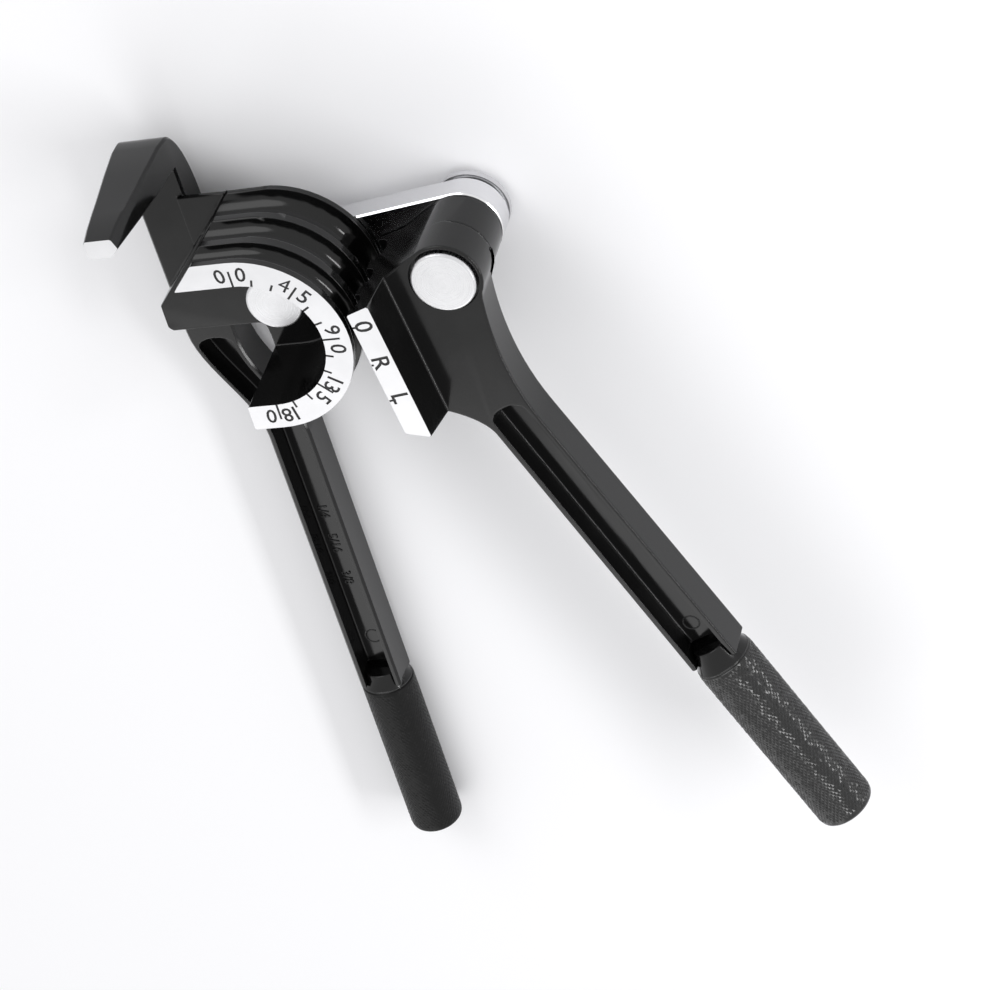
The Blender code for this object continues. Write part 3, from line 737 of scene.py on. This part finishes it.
def open_pocket_end(piece, axes, width, face_up, floor_up, pocket_end, shank_end):
    """Runs a pocket on through the shank's end, a little deeper than its floor."""
    low = floor_up - NOTCH_BELOW_FLOOR
    high = face_up + EDGE_ROUND
    first = pocket_end - EDGE_ROUND
    last = shank_end + NOTCH_PAST_END
    bpy.ops.object.select_all(action="DESELECT")
    bpy.ops.mesh.primitive_cube_add(size=1)
    tool = bpy.context.object
    tool.data.materials.append(ENAMEL)
    middle = Matrix.Translation((0, (low + high) / 2, (first + last) / 2))
    tool.matrix_world = axes @ middle @ Matrix.Diagonal((width, high - low, last - first, 1))
    settle(tool)
    cut_with(piece, tool)


def collar(name, axes, cone_start, flat, grip_start, radius, body):
    """The casting's round end between its rims, which widens to the grip."""
    rounding = []
    for angle in (0, 30, 60, 90):
        turn = math.radians(angle)
        inwards = COLLAR_ROUND * (1 - math.sin(turn))
        onwards = COLLAR_ROUND * (1 - math.cos(turn))
        rounding.append((COLLAR_RADIUS - inwards, cone_start + onwards))
    cone_end = grip_start - COLLAR_BEHIND_GRIP
    made = turned_solid(
        name,
        (
            *rounding,
            (COLLAR_RADIUS, cone_start + COLLAR_ROUND + flat),
            (radius - COLLAR_OVERLAP, cone_end),
            (COLLAR_RADIUS, cone_end),
        ),
        COLLAR_SIDES,
    )
    made.data.materials.append(ENAMEL)
    made.matrix_world = axes
    settle(made)
    smooth(made, CASTING_SMOOTH)
    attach(made, body)


def ejector_ring(piece, place, radius):
    """A faint ring that the casting's ejector pin left on a floor."""
    bpy.ops.mesh.primitive_torus_add(
        major_radius=radius, minor_radius=RING_LINE_RADIUS,
        major_segments=RING_SIDES, minor_segments=RING_LINE_SIDES, location=place,
    )
    tool = bpy.context.object
    tool.data.materials.append(ENAMEL)
    settle(tool)
    cut_with(piece, tool)


def forming_body():
    """The left casting, with its dial marks."""
    piece = merged_copy("forming_casting", "forming_body")
    piece.data.materials.append(ENAMEL)
    piece.data.materials.append(MACHINED)
    open_pocket_end(
        piece, FORMING_AXES, FORMING_INNER_WIDTH, FORMING_FACE - FORMING_AXIS_HEIGHT,
        FORMING_FLOOR - FORMING_AXIS_HEIGHT, FORMING_POCKET_END, FORMING_SHANK_END,
    )
    choose_edges(piece, (DIAL_TOP, HOOK_TIP_TOP))
    paint_by_height(piece, DIAL_TOP)
    paint_by_height(piece, HOOK_TIP_TOP)
    ejector_ring(piece, (*FORMING_RING_PLACE, FORMING_FLOOR), FORMING_RING_RADIUS)
    engrave(piece, list(dial_strokes()), list(dial_figures()))
    round_edges(piece)
    even_shading(piece)
    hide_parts("forming_casting")
    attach(piece, "forming_handle")


def flush_boss(piece):
    """Brings the boss's deep part out to its near part, but for a hairline ledge."""
    centre = LINK_FRAME.translation.xy
    flush = SLIDE_BOSS_RADIUS - BOSS_LEDGE
    for point in piece.data.vertices:
        away = point.co.xy - centre
        if SLIDE_BOSS_RADIUS - BOSS_STEP < away.length < flush:
            point.co.xy = centre + away.normalized() * flush


def slide_body():
    """The right casting, with its shoe marks."""
    piece = merged_copy("slide_casting", "slide_body")
    flush_boss(piece)
    piece.data.materials.append(ENAMEL)
    piece.data.materials.append(MACHINED)
    open_pocket_end(
        piece, SLIDE_AXES, SLIDE_INNER_WIDTH, SLIDE_FACE - SLIDE_AXIS_HEIGHT,
        SLIDE_FLOOR - SLIDE_AXIS_HEIGHT, SLIDE_POCKET_END, SLIDE_SHANK_END,
    )
    choose_edges(piece, (DIAL_TOP,))
    paint_by_height(piece, DIAL_TOP)
    ring = SLIDE_AXES @ Vector((SLIDE_RING_ACROSS, SLIDE_FLOOR - SLIDE_AXIS_HEIGHT, SLIDE_RING_ALONG))
    ejector_ring(piece, tuple(ring), SLIDE_RING_RADIUS)
    engrave(piece, list(shoe_strokes()), list(shoe_figures()))
    round_edges(piece)
    even_shading(piece)
    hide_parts("slide_casting")
    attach(piece, "slide_handle")


def pull_ring(made, height, places):
    """Pulls the rim of a sleeve at a height through radii and heights, and closes it."""
    bpy.ops.object.mode_set(mode="EDIT")
    bpy.ops.mesh.select_mode(type="EDGE")
    bpy.ops.mesh.select_all(action="DESELECT")
    bpy.ops.object.mode_set(mode="OBJECT")
    points = made.data.vertices
    for edge in made.data.edges:
        edge.select = all(lies_at(height, points[index].co.z) for index in edge.vertices)
    radius = places[0][0]
    bpy.ops.object.mode_set(mode="EDIT")
    for next_radius, next_height in places[1:]:
        bpy.ops.mesh.extrude_edges_move()
        bpy.ops.transform.translate(value=(0, 0, next_height - height))
        share = next_radius / radius
        bpy.ops.transform.resize(value=(share, share, 1), center_override=(0, 0, next_height))
        radius = next_radius
        height = next_height
    bpy.ops.mesh.edge_face_add()
    bpy.ops.object.mode_set(mode="OBJECT")


def knurled_sleeve(name, start, end, radius, around, pitch, rise):
    """Sleeve whose skin is a lattice of small pyramids, with a bored start and a round closed end."""
    low = start + GRIP_LIP
    high = end - GRIP_ROUND
    columns = 2 * around
    rows = 2 * round((high - low) / pitch)
    bpy.ops.mesh.primitive_grid_add(x_subdivisions=columns, y_subdivisions=rows, size=1)
    made = bpy.context.object
    made.name = name
    wear = random.Random(columns)
    shares = [[wear.random() for row in range(rows + 1)] for column in range(columns)]
    for point in made.data.vertices:
        column = round((point.co.x + 0.5) * columns)
        row = round((point.co.y + 0.5) * rows)
        peak = (column + row) % 2 == 0
        angle = math.tau * column / columns
        share = shares[column % columns][row] if 0 < row < rows else 0
        reach = radius - rise * (WORN_SHARE * share if peak else 1 - WORN_SHARE * share)
        if row in (0, rows):
            reach = radius - rise
        point.co = (reach * math.cos(angle), reach * math.sin(angle), low + (high - low) * row / rows)
    bpy.ops.object.mode_set(mode="EDIT")
    bpy.ops.mesh.select_all(action="SELECT")
    bpy.ops.mesh.remove_doubles(threshold=MERGE_DISTANCE)
    bpy.ops.mesh.quads_convert_to_tris(quad_method="SHORTEST_DIAGONAL")
    bpy.ops.object.mode_set(mode="OBJECT")
    skin = radius - rise
    bore = ((TANG_BORE, start), (TANG_BORE, end - GRIP_END_WALL))
    pull_ring(made, low, ((skin, low), (skin - GRIP_LIP, start), *bore))
    crown = [(skin, high)]
    for step in range(1, CROWN_STEPS + 1):
        turn = math.radians(90 * step / CROWN_STEPS)
        crown.append((skin - GRIP_ROUND * (1 - math.cos(turn)), high + GRIP_ROUND * math.sin(turn)))
    crown.append((skin / 2, end))
    pull_ring(made, high, crown)
    bpy.ops.object.mode_set(mode="EDIT")
    bpy.ops.mesh.select_all(action="SELECT")
    bpy.ops.mesh.normals_make_consistent(inside=False)
    bpy.ops.object.mode_set(mode="OBJECT")
    return made


def grips():
    """Both knurled grips. The right one is coarser and catches more light."""
    left = knurled_sleeve(
        "forming_knurl", FORMING_GRIP_START, FORMING_GRIP_END, FORMING_GRIP_RADIUS,
        FORMING_KNURLS_AROUND, FORMING_KNURL_PITCH, FORMING_KNURL_RISE,
    )
    right = knurled_sleeve(
        "slide_knurl", SLIDE_GRIP_START, SLIDE_GRIP_END, SLIDE_GRIP_RADIUS,
        SLIDE_KNURLS_AROUND, SLIDE_KNURL_PITCH, SLIDE_KNURL_RISE,
    )
    satin = grip_finish("satin knurled grip", roughness=0.36, gloss=0.16)
    bright = grip_finish("bright knurled grip", roughness=0.22, gloss=0.5)
    for made, axes, node, body, finish in (
        (left, FORMING_AXES, "forming_grip", "forming_handle", satin),
        (right, SLIDE_AXES, "slide_grip", "slide_handle", bright),
    ):
        made.matrix_world = axes
        settle(made)
        made.data.materials.append(finish)
        smooth(made, KNURL_SMOOTH)
        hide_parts(node)
        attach(made, body)


def link_plate():
    piece = merged_copy("link_bar", "link_plate")
    piece.data.materials.append(PLATING)
    even_shading(piece)
    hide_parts("link_bar")
    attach(piece, "link")


def dress_nodes():
    """Gives the pins, washers and collars, shown as the solids are, their steel."""
    for node, finish in (
        ("centre_pin", CENTRE_STEEL),
        ("centre_washer", CENTRE_STEEL),
        ("centre_collar", CENTRE_STEEL),
        ("slide_pin", SLIDE_STEEL),
        ("slide_washer", SLIDE_STEEL),
        ("slide_collar", SLIDE_STEEL),
    ):
        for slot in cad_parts[node].material_slots:
            slot.material = finish


def floor():
    place = (0, 0, cad_box[0][2] - FLOOR_DROP)
    bpy.ops.mesh.primitive_grid_add(
        size=FLOOR_SIZE, x_subdivisions=FLOOR_CELLS, y_subdivisions=FLOOR_CELLS, location=place
    )
    made = bpy.context.object
    made.name = "floor"
    settle(made)
    finish = Finish("pale floor", grey(0.9), 0.9)
    finish.shader.inputs["Specular IOR Level"].default_value = 0.1
    grain = finish.group(GRAIN, Broad=4, Fine=40)
    finish.set("Base Color", finish.colours(grain.outputs["Mottling"], grey(0.94), grey(0.96)))
    made.data.materials.append(finish.material)


def white_world():
    """White where it is seen or mirrored, and a plain level where it lights."""
    world = bpy.data.worlds.new("white studio")
    bpy.context.scene.world = world
    world.use_nodes = True
    nodes, links = world.node_tree.nodes, world.node_tree.links
    nodes.clear()
    out = nodes.new("ShaderNodeOutputWorld")
    light = nodes.new("ShaderNodeBackground")
    light.inputs["Color"].default_value = (1, 1, 1, 1)
    path = nodes.new("ShaderNodeLightPath")
    seen = math_node(nodes, "MAXIMUM")
    links.new(path.outputs["Is Camera Ray"], seen.inputs[0])
    links.new(path.outputs["Is Glossy Ray"], seen.inputs[1])
    through = math_node(nodes, "MAXIMUM")
    links.new(seen.outputs[0], through.inputs[0])
    links.new(path.outputs["Is Transmission Ray"], through.inputs[1])
    strength = nodes.new("ShaderNodeMapRange")
    strength.inputs["To Min"].default_value = PLAIN_LIGHT
    strength.inputs["To Max"].default_value = 1.0
    links.new(through.outputs[0], strength.inputs["Value"])
    links.new(strength.outputs["Result"], light.inputs["Strength"])
    links.new(light.outputs[0], out.inputs["Surface"])


def lamp(name, place, width, brightness, height=0):
    """A soft lamp that looks at the tool, round or, where it has a height, oblong."""
    bpy.ops.object.light_add(type="AREA", location=place)
    made = bpy.context.object
    made.name = name
    made.data.size = width
    area = math.pi * width * width / 4
    made.data.shape = "DISK"
    if height:
        made.data.shape = "RECTANGLE"
        made.data.size_y = height
        area = width * height
    made.data.energy = brightness * math.pi * area
    aim = Vector(LAMP_AIM) - Vector(place)
    made.rotation_euler = aim.to_track_quat("-Z", "Y").to_euler()


def lamps():
    lamp("edge strip", (0.79, -0.08, 0.50), width=0.75, brightness=14, height=0.11)
    lamp("side panel", (-0.29, 0.68, 0.51), width=0.6, brightness=2.0)
    lamp("front panel", (-0.30, -0.97, 0.80), width=0.9, brightness=1.2, height=0.6)


def camera():
    bpy.ops.object.camera_add(location=CAMERA_PLACE)
    made = bpy.context.object
    made.rotation_euler = [math.radians(angle) for angle in CAMERA_ANGLES]
    made.data.lens = CAMERA_LENS
    made.data.sensor_width = SENSOR_WIDTH
    made.data.clip_start = NEAREST_SEEN
    made.data.clip_end = FARTHEST_SEEN
    bpy.context.scene.camera = made


bpy.context.scene.view_settings.view_transform = "Standard"
bpy.ops.object.select_all(action="DESELECT")
camera()
forming_body()
slide_body()
size_marks()
collar(
    "forming_collar", FORMING_AXES, FORMING_CONE_START, FORMING_COLLAR_FLAT, FORMING_GRIP_START,
    FORMING_GRIP_RADIUS, "forming_handle",
)
collar(
    "slide_collar_round", SLIDE_AXES, SLIDE_CONE_START, SLIDE_COLLAR_FLAT, SLIDE_GRIP_START,
    SLIDE_GRIP_RADIUS, "slide_handle",
)
link_plate()
grips()
dress_nodes()
floor()
white_world()
lamps()
